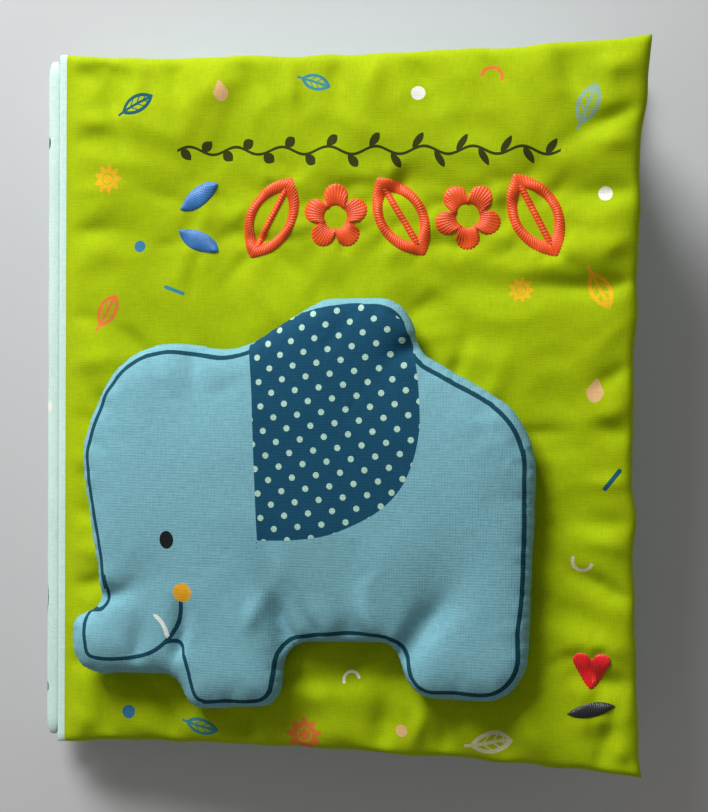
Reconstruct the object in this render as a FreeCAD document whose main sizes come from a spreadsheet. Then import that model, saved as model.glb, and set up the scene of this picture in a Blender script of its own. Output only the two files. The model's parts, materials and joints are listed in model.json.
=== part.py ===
# Soft cloth book: two padded covers, three padded leaves, a cloth spine and a stuffed elephant.
import FreeCAD, Part
import Sketcher
import math
import os

os.makedirs("parts", exist_ok=True)
doc = FreeCAD.newDocument("cloth_book")

# Driving sizes: millimetres, and degrees for fan_angle. X runs from the spine to the fore-edge,
# Y from tail to head, and each cover's own U runs from its hinge line to its fore-edge.
driving_sizes = [
    ("book_height", 210),        # cover, tail corner to head corner
    ("cover_width", 176),        # hinge line to fore-edge
    ("edge_sag", 2.2),           # how far a sewn edge is pulled in between its corners
    ("seam_half", 0.8),          # half the thickness of a turned and sewn edge
    ("seam_flange", 1.5),        # flat sewn border of a panel
    ("spine_flange", 4),         # flat sewn border beside the hinge line
    ("outer_puff", 4),           # middle plane of a cover to its outer face
    ("inner_puff", 3.4),         # middle plane of a cover to its inner face
    ("outer_margin", 19),        # run over which the outer face swells from its seam
    ("inner_margin", 15),        # the same on inner faces and leaves
    ("spine_depth", 9),          # between the two hinge lines
    ("fan_angle", 11.3),         # front cover over back cover in the resting book
    ("leaf_count", 3),
    ("leaf_width", 166),
    ("leaf_height", 203),
    ("leaf_start", 1.5),         # hinge line to a leaf's spine edge
    ("leaf_puff", 3.4),          # half the thickness of a padded leaf
    ("soft_gap", 0.4),           # air between padded faces that lie on each other
    ("hinge_gap", 0.3),          # air between the spine cloth and a turning cover edge
    ("spine_bulge", 4.2),        # spine cloth beyond the hinge lines
    ("spine_wall", 1),
    ("spine_length", 206),
    ("gutter_reach", 9),         # sewn leaf ends, from the hinge line into the book
    ("elephant_length", 137.5),  # trunk tip to rump
    ("elephant_thick", 11),
    ("elephant_rim", 0.6),       # flat sewn border round the elephant
    ("elephant_margin", 7.5),    # run over which the stuffing swells
    ("elephant_from_spine", 8.3),
    ("elephant_from_tail", 15.5),
    ("seat_gap", 0.3),           # elephant's back over the cover's outer face
    ("stitch_height", 0.9),      # satin stitch above the cloth
    ("stitch_width", 3.4),       # width of one satin stitched line
    ("rib_width", 2.2),          # stitched midrib of a leaf
    ("leaf_motif_length", 27),
    ("leaf_motif_width", 15),
    ("blossom_across", 20),
    ("blossom_hole", 6),
    ("motif_pitch", 19.2),       # between neighbouring orange motifs
    ("motif_from_spine", 67),
    ("motif_from_head", 51),
    ("blue_leaf_length", 14),
    ("blue_leaf_width", 6.5),
    ("blue_leaf_from_spine", 45),
    ("blue_leaf_pitch", 13),
    ("heart_width", 11),
    ("heart_from_fore_edge", 15),
    ("heart_from_tail", 31),
    ("small_leaf_length", 14),
    ("small_leaf_width", 4.6),
    ("small_leaf_drop", 11),     # small leaf below the heart
]
sheet = doc.addObject("Spreadsheet::Sheet", "Sizes")
for row, (alias, number) in enumerate(driving_sizes, start=1):
    sheet.set("A%d" % row, alias)
    sheet.set("B%d" % row, str(number))
    sheet.setAlias("B%d" % row, alias)
doc.recompute()

parts = []


def size(alias):
    return float(sheet.get(alias))


def value_of(expression):
    return float(sheet.evalExpression(expression))


# Panels fan out evenly: each plane starts one pitch above the last and leans one step more.
PITCH = "(Sizes.spine_depth / (Sizes.leaf_count + 1))"
FAN_STEP = "(Sizes.fan_angle / (Sizes.leaf_count + 1))"
HINGE_X = "((Sizes.spine_bulge - Sizes.cover_width) / 2)"
BACK_HINGE_Z = "Sizes.outer_puff"

# A padded face swells like a quarter ellipse: share of the rise against share of the run.
def swell(turns):
    return [(math.sin(math.radians(turn)), 1 - math.cos(math.radians(turn))) for turn in turns]


PANEL_SWELL = swell((0, 18, 36, 54, 72, 90))
CUSHION_SWELL = {1: swell((0, 30, 60, 90)), -1: [(0, 0), (0.65, 0.2), (1, 0.6)]}  # crown, and the side it lies on


def place_on_fan(thing, plane):
    """Stands a part on fan plane number 0 (back cover) to leaf_count + 1 (front cover)."""
    thing.Placement = FreeCAD.Placement(
        FreeCAD.Vector(), FreeCAD.Rotation(FreeCAD.Vector(0, -1, 0), value_of("%s * %s" % (FAN_STEP, plane))))
    thing.setExpression("Placement.Base.x", HINGE_X)
    thing.setExpression("Placement.Base.z", "%s + %s * %s" % (BACK_HINGE_Z, PITCH, plane))
    thing.setExpression("Placement.Rotation.Angle", "%s * %s" % (FAN_STEP, plane))


def flat_sketch(body, name, level):
    sketch = body.newObject("Sketcher::SketchObject", name)
    plane = [f for f in body.Origin.OriginFeatures if f.Role == "XY_Plane"][0]
    sketch.AttachmentSupport = [(plane, "")]
    sketch.MapMode = "FlatFace"
    sketch.AttachmentOffset = FreeCAD.Placement(
        FreeCAD.Vector(0, 0, value_of(level)), FreeCAD.Rotation())
    sketch.setExpression("AttachmentOffset.Base.z", level)
    return sketch


def outline_sketch(body, name, level, left, right, half, sag):
    """A panel outline: straight along the spine, its other three edges pulled in as arcs by sag."""
    sketch = flat_sketch(body, name, level)
    x0, x1, y1 = value_of(left), value_of(right), value_of(half)
    corners = [FreeCAD.Vector(*p, 0) for p in ((x0, -y1), (x1, -y1), (x1, y1), (x0, y1))]
    if sag:
        pull = value_of(sag)
        middles = [((x0 + x1) / 2, pull - y1), (x1 - pull, 0), ((x0 + x1) / 2, y1 - pull)]
        for start, middle, end in zip(corners, middles, corners[1:]):
            sketch.addGeometry(Part.Arc(start, FreeCAD.Vector(*middle, 0), end), False)
    else:
        for start, end in zip(corners, corners[1:]):
            sketch.addGeometry(Part.LineSegment(start, end), False)
    sketch.addGeometry(Part.LineSegment(corners[3], corners[0]), False)

    def end_at(edge, corner):
        return (edge, 1) if sketch.getPoint(edge, 1).distanceToPoint(corner) < 1e-6 else (edge, 2)

    for index, corner in enumerate(corners):
        here, before = end_at(index, corner), end_at((index + 3) % 4, corner)
        sketch.addConstraint(Sketcher.Constraint("Coincident", *before, *here))
        for kind, position, text in (
                ("DistanceX", corner.x, left if index in (0, 3) else right),
                ("DistanceY", corner.y, half if index in (2, 3) else "-(%s)" % half)):
            number = sketch.addConstraint(Sketcher.Constraint(kind, -1, 1, *here, position))
            sketch.setExpression("Constraints[%d]" % number, text)
    across, along = "(%s - (%s))" % (right, left), "(2 * (%s))" % half
    for edge, chord in enumerate((across, along, across) if sag else ()):
        radius = "%s^2 / (8 * %s) + %s / 2" % (chord, sag, sag)
        number = sketch.addConstraint(Sketcher.Constraint("Radius", edge, value_of(radius)))
        sketch.setExpression("Constraints[%d]" % number, radius)
    return sketch


def seam_pad(body, border):
    """The turned and sewn edge of a padded piece, as thick as its two folded cloths."""
    seam = body.newObject("PartDesign::Pad", body.Name + "_seam")
    seam.Profile = border
    seam.Midplane = True
    seam.setExpression("Length", "2 * Sizes.seam_half")
    doc.recompute()


def padding(body, side, sections):
    """One padded face, from its seam to its crown."""
    loft = body.newObject("PartDesign::AdditiveLoft", body.Name + ("_top" if side > 0 else "_under"))
    loft.Profile = sections[0]
    loft.Sections = sections[1:]
    loft.Ruled = True
    doc.recompute()


def padded_panel(name, plane, start, width, height, sag, faces):
    """A sewn panel: a flat turned edge all round and a padded face on each side of it."""
    body = doc.addObject("PartDesign::Body", name)
    seam_pad(body, outline_sketch(
        body, name + "_border", "0", start, "%s + %s" % (start, width), "%s / 2" % height, sag))
    for side, puff, margin, wedged in faces:
        sections = []
        for number, (rise, run) in enumerate(PANEL_SWELL):
            level = "(Sizes.seam_half + %.6f * (%s - Sizes.seam_half))" % (rise, puff)
            inset = "(Sizes.seam_flange + %.6f * %s)" % (run, margin)
            left = "%s + Sizes.spine_flange + %.6f * %s" % (start, run, margin)
            if wedged and number:
                # Beside the spine the panels lie on each other, only as thick as the fan is open there.
                left = "(2 * %s + Sizes.soft_gap - %s) / tan(%s * 1 deg)" % (level, PITCH, FAN_STEP)
            sections.append(outline_sketch(
                body, "%s_level_%d" % (name, side * (number + 1)), "%d * %s" % (side, level), left,
                "%s + %s - %s" % (start, width, inset), "%s / 2 - %s" % (height, inset), sag))
        padding(body, side, sections)
    place_on_fan(body, plane)
    return body


def pad_on_cover(name, level, thickness, outline):
    """A flat piece that lies on the front cover's outer face, padded up from an outline of its own."""
    body = doc.addObject("PartDesign::Body", name)
    sketch = flat_sketch(body, name + "_outline", level)
    for edge in outline:
        sketch.addGeometry(edge, False)
    pad = body.newObject("PartDesign::Pad", name + "_pad")
    pad.Profile = sketch
    pad.setExpression("Length", thickness)
    place_on_fan(body, "(Sizes.leaf_count + 1)")
    doc.recompute()
    return body, pad


def rounded_outline(corners):
    """Lines joined by tangent arcs: each corner is (u, v, radius)."""
    edges, ends = [], []
    for index, (u, v, radius) in enumerate(corners):
        corner = FreeCAD.Vector(u, v, 0)
        back = (FreeCAD.Vector(*corners[index - 1][:2], 0) - corner).normalize()
        ahead = (FreeCAD.Vector(*corners[(index + 1) % len(corners)][:2], 0) - corner).normalize()
        half_angle = back.getAngle(ahead) / 2
        reach = radius / math.tan(half_angle)
        middle = (back + ahead).normalize() * (radius / math.sin(half_angle) - radius)
        ends.append((corner + back * reach, corner + middle, corner + ahead * reach))
    for index, (arrive, middle, leave) in enumerate(ends):
        edges.append(Part.Arc(arrive, middle, leave))
        edges.append(Part.LineSegment(leave, ends[(index + 1) % len(ends)][0]))
    return edges


def turned(edges, centre, angle):
    """Turns an outline drawn round the origin and moves it to its place on the cover."""
    matrix = FreeCAD.Placement(FreeCAD.Vector(*centre, 0), FreeCAD.Rotation(FreeCAD.Vector(0, 0, 1), angle)).toMatrix()
    for edge in edges:
        edge.transform(matrix)
    return edges


def pointed_oval(length, width):
    """Two arcs that meet in a point at each end."""
    tips = [FreeCAD.Vector(length / 2, 0, 0), FreeCAD.Vector(-length / 2, 0, 0)]
    return [Part.Arc(tips[0], FreeCAD.Vector(0, side * width / 2, 0), tips[1]) for side in (1, -1)]


TIP_MITRE = 1.6  # at a leaf's tip the stitched line is this many widths long


def leaf_outline(length, width, stroke, rib):
    """A stitched leaf: a pointed oval line with a midrib, open on both sides of the rib."""
    edges = pointed_oval(length, width)
    bulge = width / 2 - stroke
    half_chord = length / 2 - TIP_MITRE * stroke
    for side in (1, -1):
        ends = [FreeCAD.Vector(x, side * rib / 2, 0) for x in (half_chord, -half_chord)]
        edges.append(Part.Arc(ends[0], FreeCAD.Vector(0, side * bulge, 0), ends[1]))
        edges.append(Part.LineSegment(ends[1], ends[0]))
    return edges


def blossom_outline(across, petals, hole):
    """Petals as arcs that meet in notches, round an open middle."""
    petal_centre = across / 2 / (1 + math.sin(math.pi / petals))
    notch = petal_centre * math.cos(math.pi / petals)
    edges = []
    for number in range(petals):
        middle = 2 * math.pi * number / petals
        arc = [(notch, middle - math.pi / petals), (across / 2, middle), (notch, middle + math.pi / petals)]
        edges.append(Part.Arc(*[FreeCAD.Vector(r * math.cos(a), r * math.sin(a), 0) for r, a in arc]))
    edges.append(Part.Circle(FreeCAD.Vector(), FreeCAD.Vector(0, 0, 1), hole / 2))
    return edges


HEART_POINT = (0, -0.55)     # shares of the heart's width
HEART_FLANK = (0.36, -0.18)  # where its right side passes


def heart_outline(width):
    """Two round lobes and two gently bulging sides that meet in a point."""
    lobe = width / 4
    top = FreeCAD.Vector(0, lobe, 0)
    point = FreeCAD.Vector(*HEART_POINT, 0) * width
    edges = []
    for side in (-1, 1):
        shoulder = FreeCAD.Vector(side * width / 2, lobe, 0)
        crest = FreeCAD.Vector(side * lobe, 2 * lobe, 0)
        flank = FreeCAD.Vector(side * HEART_FLANK[0], HEART_FLANK[1], 0) * width
        edges += [Part.Arc(top, crest, shoulder), Part.Arc(shoulder, flank, point)]
    return edges


# Padded covers. Both outer faces swell freely and both inner faces follow the fan.
COVER = ("Sizes.cover_width", "Sizes.book_height", "Sizes.edge_sag")
outer_face = ("Sizes.outer_puff", "Sizes.outer_margin", False)
inner_face = ("Sizes.inner_puff", "Sizes.inner_margin", True)
parts.append(padded_panel("back_cover", "0", "0", *COVER, [(-1, *outer_face), (1, *inner_face)]))
parts.append(padded_panel(
    "front_cover", "(Sizes.leaf_count + 1)", "0", *COVER, [(1, *outer_face), (-1, *inner_face)]))

# The leaves and the sewn gutter that joins them are one solid.
leaf_face = ("Sizes.leaf_puff", "Sizes.inner_margin", True)
leaves = [
    padded_panel("leaf_%d" % number, str(number), "Sizes.leaf_start", "Sizes.leaf_width", "Sizes.leaf_height", None,
                 [(1, *leaf_face), (-1, *leaf_face)])
    for number in range(1, int(size("leaf_count")) + 1)]



def spine_body(name, inset, reach, length):
    """A bar along the spine that bulges away from the book, inset inside the spine cloth's outer face."""
    body = doc.addObject("PartDesign::Body", name)
    sketch = body.newObject("Sketcher::SketchObject", name + "_section")
    plane = [f for f in body.Origin.OriginFeatures if f.Role == "XZ_Plane"][0]
    sketch.AttachmentSupport = [(plane, "")]
    sketch.MapMode = "FlatFace"
    rise = value_of("%s - %s" % (SPINE_RISE, inset))
    bulge = value_of("Sizes.spine_bulge - %s" % inset)
    inner_rise, inner_bulge = rise - size("spine_wall"), bulge - size("spine_wall")
    sketch.addGeometry(Part.Arc(*[FreeCAD.Vector(*p, 0) for p in ((0, rise), (-bulge, 0), (0, -rise))]), False)
    if reach:
        path = [(0, -rise), (value_of(reach), -rise), (value_of(reach), rise), (0, rise)]
    else:
        sketch.addGeometry(Part.Arc(*[
            FreeCAD.Vector(*p, 0) for p in ((0, inner_rise), (-inner_bulge, 0), (0, -inner_rise))]), False)
        path = [(0, -rise), (0, -inner_rise), None, (0, inner_rise), (0, rise)]
    for start, end in zip(path, path[1:]):
        if start and end:
            sketch.addGeometry(Part.LineSegment(FreeCAD.Vector(*start, 0), FreeCAD.Vector(*end, 0)), False)
    pad = body.newObject("PartDesign::Pad", name + "_bar")
    pad.Profile = sketch
    pad.Midplane = True
    pad.setExpression("Length", length)
    body.setExpression("Placement.Base.x", HINGE_X)
    body.setExpression("Placement.Base.z", "%s + Sizes.spine_depth / 2" % BACK_HINGE_Z)
    return body


# The spine cloth is a C between the two hinge lines, clear of both turning cover edges.
SPINE_RISE = "(Sizes.spine_depth / 2 - Sizes.seam_half - Sizes.hinge_gap)"
parts.append(spine_body("spine", "0", None, "Sizes.spine_length"))

# The sewn leaf ends fill the inside of that C.
gutter = spine_body("gutter", "(Sizes.spine_wall + Sizes.hinge_gap)", "Sizes.gutter_reach", "Sizes.leaf_height")
pages = doc.addObject("Part::MultiFuse", "pages")
pages.Shapes = leaves + [gutter]
parts.append(pages)

# The elephant: one stuffed cushion. Each corner is (along, up, rounding), feet down, trunk to the spine.
ELEPHANT = [
    (9.5, 29.5, 4), (-0.5, 26.5, 6), (0.5, 8.5, 9), (33, 9.5, 5), (37, -0.5, 7), (65.5, 1.5, 8),
    (67.5, 20.5, 6), (99.5, 22.5, 6), (103, 6.5, 10), (138, 6, 14), (140.5, 88, 26), (106, 107, 9),
    (103, 123, 12), (77, 122.5, 14), (52, 107, 20), (15.5, 111.5, 26), (2, 77, 30)]


def inset_corners(corners, inset):
    """The same corners moved inwards, square to both of their sides."""
    moved = []
    for index, (u, v, radius) in enumerate(corners):
        corner = FreeCAD.Vector(u, v, 0)
        before = (corner - FreeCAD.Vector(*corners[index - 1][:2], 0)).normalize()
        after = (FreeCAD.Vector(*corners[(index + 1) % len(corners)][:2], 0) - corner).normalize()
        turn = math.atan2(before.cross(after).z, before.dot(after))
        inward = FreeCAD.Vector(-before.y - after.y, before.x + after.x, 0).normalize()
        moved.append((*(corner + inward * (inset / math.cos(turn / 2)))[:2],
                      max(radius - inset if turn > 0 else radius + inset, SMALLEST_ROUNDING)))
    return moved


SMALLEST_ROUNDING = 0.8
drawn = Part.Wire(Part.sortEdges([e.toShape() for e in rounded_outline(ELEPHANT)])[0]).BoundBox
scale = size("elephant_length") / drawn.XLength
placed = [
    (size("elephant_from_spine") + scale * (u - drawn.XMin),
     size("elephant_from_tail") - size("book_height") / 2 + scale * (v - drawn.YMin), scale * radius)
    for u, v, radius in ELEPHANT]
elephant = doc.addObject("PartDesign::Body", "elephant")
MIDDLE = "(Sizes.outer_puff + Sizes.seat_gap + Sizes.elephant_thick / 2)"


def elephant_sketch(name, level, inset):
    sketch = flat_sketch(elephant, name, level)
    for edge in rounded_outline(inset_corners(placed, inset)):
        sketch.addGeometry(edge, False)
    return sketch


seam_pad(elephant, elephant_sketch("elephant_border", MIDDLE, 0))
for side in (1, -1):
    padding(elephant, side, [
        elephant_sketch(
            "elephant_level_%d" % (side * (number + 1)),
            "%s + %d * (Sizes.seam_half + %.6f * (Sizes.elephant_thick / 2 - Sizes.seam_half))" % (MIDDLE, side, rise),
            size("elephant_rim") + run * size("elephant_margin"))
        for number, (rise, run) in enumerate(CUSHION_SWELL[side])])
place_on_fan(elephant, "(Sizes.leaf_count + 1)")
parts.append(elephant)

# Satin stitched motifs on the cover, raised by their thread. They lie on its outer face.
SEAT = "Sizes.outer_puff"
THREAD = "Sizes.stitch_height"


def stitched(name, outline, centre, angle):
    body, _ = pad_on_cover(name, SEAT, THREAD, turned(outline, centre, angle))
    parts.append(body)


row_v = size("book_height") / 2 - size("motif_from_head")
MOTIFS = [("leaf", 62), ("blossom", 18), ("leaf", -58), ("blossom", -18), ("leaf", 118)]
for number, (kind, angle) in enumerate(MOTIFS):
    centre = (size("motif_from_spine") + number * size("motif_pitch"), row_v)
    outline = leaf_outline(
        size("leaf_motif_length"), size("leaf_motif_width"), size("stitch_width"), size("rib_width")
    ) if kind == "leaf" else blossom_outline(size("blossom_across"), 5, size("blossom_hole"))
    stitched("orange_%s_%d" % (kind, number + 1), outline, centre, angle)
for number, angle in enumerate((32, -28)):
    centre = (size("blue_leaf_from_spine"), row_v + (0.5 - number) * size("blue_leaf_pitch"))
    stitched("blue_leaf_%d" % (number + 1), pointed_oval(size("blue_leaf_length"), size("blue_leaf_width")), centre, angle)
heart_centre = (size("cover_width") - size("heart_from_fore_edge"), size("heart_from_tail") - size("book_height") / 2)
stitched("red_heart", heart_outline(size("heart_width")), heart_centre, 0)
stitched("dark_leaf", pointed_oval(size("small_leaf_length"), size("small_leaf_width")),
         (heart_centre[0], heart_centre[1] - size("small_leaf_drop")), 12)

doc.recompute()
for thing in doc.Objects:
    if "Invalid" in thing.State or "Error" in thing.State:
        raise RuntimeError("%s failed: %s" % (thing.Name, thing.State))
for part in parts:
    if part.Shape.isNull() or not part.Shape.isValid():
        raise RuntimeError("%s has no valid shape" % part.Name)
for part in parts:
    part.Label = part.Name
    part.Shape.exportStep("parts/%s.step" % part.Label)
    box = part.Shape.BoundBox
    print("%-18s %9.0f mm3  x %.1f..%.1f  y %.1f..%.1f  z %.1f..%.1f" % (
        part.Label, part.Shape.Volume, box.XMin, box.XMax, box.YMin, box.YMax, box.ZMin, box.ZMax))
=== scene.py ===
# Soft cloth book lying closed: padded lime covers, mint spine, stuffed elephant and satin stitching.
import json
import math
import random
import bmesh
import bpy
import numpy as np
from mathutils import Matrix, Vector, geometry, noise
from mathutils.bvhtree import BVHTree


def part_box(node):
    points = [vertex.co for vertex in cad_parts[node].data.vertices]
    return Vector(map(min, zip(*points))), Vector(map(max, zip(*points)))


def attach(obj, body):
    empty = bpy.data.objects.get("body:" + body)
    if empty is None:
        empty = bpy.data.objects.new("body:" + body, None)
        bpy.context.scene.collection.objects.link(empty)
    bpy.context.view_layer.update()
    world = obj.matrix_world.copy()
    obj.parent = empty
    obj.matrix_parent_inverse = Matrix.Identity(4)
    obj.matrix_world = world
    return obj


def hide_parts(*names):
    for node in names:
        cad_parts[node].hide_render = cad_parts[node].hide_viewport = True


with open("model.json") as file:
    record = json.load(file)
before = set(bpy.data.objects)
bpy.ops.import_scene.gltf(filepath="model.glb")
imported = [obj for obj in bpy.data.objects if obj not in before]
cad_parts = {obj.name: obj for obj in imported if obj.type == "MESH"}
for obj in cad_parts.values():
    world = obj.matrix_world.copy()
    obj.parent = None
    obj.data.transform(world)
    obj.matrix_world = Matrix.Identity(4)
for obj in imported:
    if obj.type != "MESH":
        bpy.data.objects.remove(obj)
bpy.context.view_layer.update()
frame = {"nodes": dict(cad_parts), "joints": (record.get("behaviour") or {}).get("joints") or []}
mm = 0.001  # one millimetre in scene units

# The five panels of the book share one hinge edge and fan out from it.
hinges = {joint["name"]: Vector(joint["pos_m"]) for joint in frame["joints"]}
fan = {"angle": 11.3, "steps": 4, "pitch": 2.25, "air": 0.42}  # degrees, then millimetres at the spine


def fanPlane(number):
    # own axes of a panel: U from its hinge line, V towards the head, W outwards
    share = number / fan["steps"]
    hinge = hinges["back_cover_hinge"].lerp(hinges["front_cover_hinge"], share)
    return Matrix.Translation(hinge) @ Matrix.Rotation(-math.radians(fan["angle"] * share), 4, "Y")


def pieceFromMesh(name, verts, faces, plane, flat):
    # verts in millimetres on the piece's own plane; flat is where each point lay in the cut cloth
    mesh = bpy.data.meshes.new(name)
    mesh.from_pydata([tuple(point) for point in np.asarray(verts) * mm], [], [tuple(face) for face in faces])
    flat = np.column_stack([np.asarray(flat), np.zeros(len(verts))]).astype(np.float32)
    mesh.attributes.new("flat", "FLOAT_VECTOR", "POINT").data.foreach_set("vector", flat.ravel())
    mesh.transform(plane)
    piece = bpy.data.objects.new(name, mesh)
    bpy.context.scene.collection.objects.link(piece)
    return piece


def pointsOn(mesh, plane):
    places = np.zeros(len(mesh.vertices) * 3)
    mesh.vertices.foreach_get("co", places)
    back = np.array(plane.inverted())
    return (places.reshape(-1, 3) @ back[:3, :3].T + back[:3, 3]) / mm


def setPoints(target, plane, points):
    matrix = np.array(plane)
    target.foreach_set("co", ((points * mm) @ matrix[:3, :3].T + matrix[:3, 3]).astype(np.float32).ravel())


def setNumber(piece, name, values):
    attribute = piece.data.attributes.new(name, "FLOAT", "POINT")
    attribute.data.foreach_set("value", np.asarray(values, np.float32))


def finishCloth(piece, level=1):
    bpy.ops.object.select_all(action="DESELECT")
    bpy.context.view_layer.objects.active = piece
    piece.select_set(True)
    subdivision = piece.modifiers.new("subdivision", "SUBSURF")
    subdivision.levels = subdivision.render_levels = level
    bpy.ops.object.modifier_apply(modifier=subdivision.name)
    bpy.ops.object.shade_smooth()
    piece.select_set(False)


def relaxCloth(piece, plane, hold, cut, settings, limit):
    # the cloth is cut larger than the place it is sewn into, so it settles into folds and puckers
    start = pointsOn(piece.data, plane)
    group = piece.vertex_groups.new(name="hold")
    for index, weight in enumerate(hold):
        group.add([index], float(weight), "REPLACE")
    piece.shape_key_add(name="sewn")
    key = piece.shape_key_add(name="cut")
    setPoints(key.data, plane, cut)
    cloth = piece.modifiers.new("cloth", "CLOTH")
    own = cloth.settings
    own.rest_shape_key = key
    own.vertex_group_mass = "hold"
    own.quality = settings["quality"]
    own.mass = settings["mass"]
    own.tension_stiffness = own.compression_stiffness = settings["stretch"]
    own.shear_stiffness = settings["shear"]
    own.bending_stiffness = settings["bend"]
    own.use_pressure = True
    own.uniform_pressure_force = settings["pressure"]
    own.effector_weights.gravity = 0
    own.air_damping = settings["damping"]
    own.pin_stiffness = settings["wadding"]
    cloth.collision_settings.use_collision = False
    cloth.point_cache.frame_start, cloth.point_cache.frame_end = 1, settings["frames"]
    for step in range(1, settings["frames"] + 1):
        bpy.context.scene.frame_set(step)
    settled = piece.evaluated_get(bpy.context.evaluated_depsgraph_get())
    moved = pointsOn(settled.data, plane)
    piece.modifiers.remove(cloth)
    piece.shape_key_clear()
    piece.vertex_groups.remove(group)
    bpy.context.scene.frame_set(1)
    shift = moved - start
    length = np.linalg.norm(shift, axis=1, keepdims=True)
    print("  %s: cloth moved %.2f mm at most, %.2f mm on average" % (piece.name, length.max(), length.mean()))
    moved = start + shift * np.minimum(1, settings["cap"] / np.maximum(length, 1e-9))
    setPoints(piece.data.vertices, plane, limit(moved))
    piece.data.update()


def swell(distance, margin):
    # quarter ellipse: nothing on the seam, full height once the wadding is as thick as it gets
    return np.sqrt(1 - (1 - np.clip(distance / margin, 0, 1)) ** 2)


def softNoise(u, v, seed):
    pairs = zip(np.ravel(u), np.ravel(v))
    return np.array([noise.noise(Vector((a, b, seed))) for a, b in pairs]).reshape(np.shape(u))


def foldField(points, folds):
    # soft valleys and ridges: each has a start, a way to run, its length, width, depth and bend
    lift = np.zeros(len(points))
    for u, v, way, length, width, depth, bend in folds:
        c, s = math.cos(math.radians(way)), math.sin(math.radians(way))
        along = (points[:, 0] - u) * c + (points[:, 1] - v) * s
        near = np.flatnonzero((along > -2 * width) & (along < length * 1.8))
        a = along[near] / length
        across = (points[near, 1] - v) * c - (points[near, 0] - u) * s - bend * a ** 2
        spread = width * (0.6 + 0.7 * np.clip(a, 0, 1.6))
        fade = np.exp(-1.7 * np.maximum(a, 0) ** 2 - (np.minimum(a * length, 0) / width) ** 2)
        lift[near] += depth * fade / (1 + (across / spread) ** 2) ** 1.6
    return lift


def foldsAlong(line, inward, spacing, lengths, widths, depths, skew, seed):
    # valleys with a lower ridge between them, all along a seam or round stitching
    pick = random.Random(seed)
    step = max(1, round(spacing / np.linalg.norm(line[1] - line[0])))
    folds = []
    place = pick.randrange(step)
    lean = 0
    while place < len(line) - 1:
        run = line[place + 1] - line[place]
        lean = 0.5 * lean + pick.uniform(-skew, skew)
        way = math.degrees(math.atan2(run[1], run[0])) + (90 if inward else -90) + lean
        depth = -pick.uniform(*depths) if len(folds) % 2 == 0 else 0.55 * pick.uniform(*depths)
        folds.append((*line[place], way, pick.uniform(*lengths), pick.uniform(*widths), depth,
                      pick.uniform(-4, 4)))
        place += max(1, round(step * pick.uniform(0.35, 0.85)))
    return folds


def signedDistance(outline, points, closed=True):
    # millimetres to a line of points, positive inside it where it is closed
    best = np.full(len(points), 1e9)
    inside = np.zeros(len(points), bool)
    ends = np.roll(outline, -1, 0) if closed else outline[1:]
    for p, q in zip(outline, ends):
        run = q - p
        share = np.clip(((points - p) @ run) / max(run @ run, 1e-12), 0, 1)
        best = np.minimum(best, np.linalg.norm(points - p - share[:, None] * run, axis=1))
        if closed and abs(run[1]) > 1e-9:
            crosses = (p[1] > points[:, 1]) != (q[1] > points[:, 1])
            inside ^= crosses & (points[:, 0] < p[0] + (points[:, 1] - p[1]) / run[1] * run[0])
    return np.where(inside, best, -best) if closed else best


def leftIsInside(outline, line):
    # whether the area of a closed outline lies to the left of a line that follows it
    run = line[1] - line[0]
    return signedDistance(outline, line[:1] + np.array([[run[1], -run[0]]]))[0] < 0


def smoothLine(points, spacing, closed):
    # a flowing curve through a few points, in even steps
    points = [Vector((x, y, 0)) for x, y in points]
    last = len(points) if closed else len(points) - 1
    dense = []
    for i in range(last):
        if closed:
            a, b, c, d = (points[(i + k) % len(points)] for k in (-1, 0, 1, 2))
        else:
            a, b, c, d = (points[min(max(i + k, 0), len(points) - 1)] for k in (-1, 0, 1, 2))
        for t in np.linspace(0, 1, 12, endpoint=False):
            dense.append(0.5 * ((2 * b) + (c - a) * t + (2 * a - 5 * b + 4 * c - d) * t ** 2
                                + (3 * b - a - 3 * c + d) * t ** 3))
    dense.append(dense[0] if closed else points[-1])
    return evenSteps(np.array([(p.x, p.y) for p in dense]), spacing)[:-1 if closed else None]


def evenSteps(line, spacing):
    run = np.concatenate([[0], np.cumsum(np.linalg.norm(np.diff(line, axis=0), axis=1))])
    places = np.linspace(0, run[-1], max(2, round(run[-1] / spacing) + 1))
    return np.column_stack([np.interp(places, run, line[:, 0]), np.interp(places, run, line[:, 1])])


# Camera: the photograph is taken from straight above.
view = {"place": (7.8, 11.9, 473.3), "turn": (-1.60, 0.54, 0.51), "focal": 1520, "height": 812}
cameraData = bpy.data.cameras.new("camera")
cameraData.sensor_fit = "VERTICAL"
cameraData.sensor_height = 24
cameraData.lens = 24 * view["focal"] / view["height"]
cameraData.clip_start = 0.01
camera = bpy.data.objects.new("camera", cameraData)
camera.location = Vector(view["place"]) * mm
camera.rotation_euler = [math.radians(angle) for angle in view["turn"]]
bpy.context.scene.collection.objects.link(camera)
bpy.context.scene.camera = camera


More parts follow.
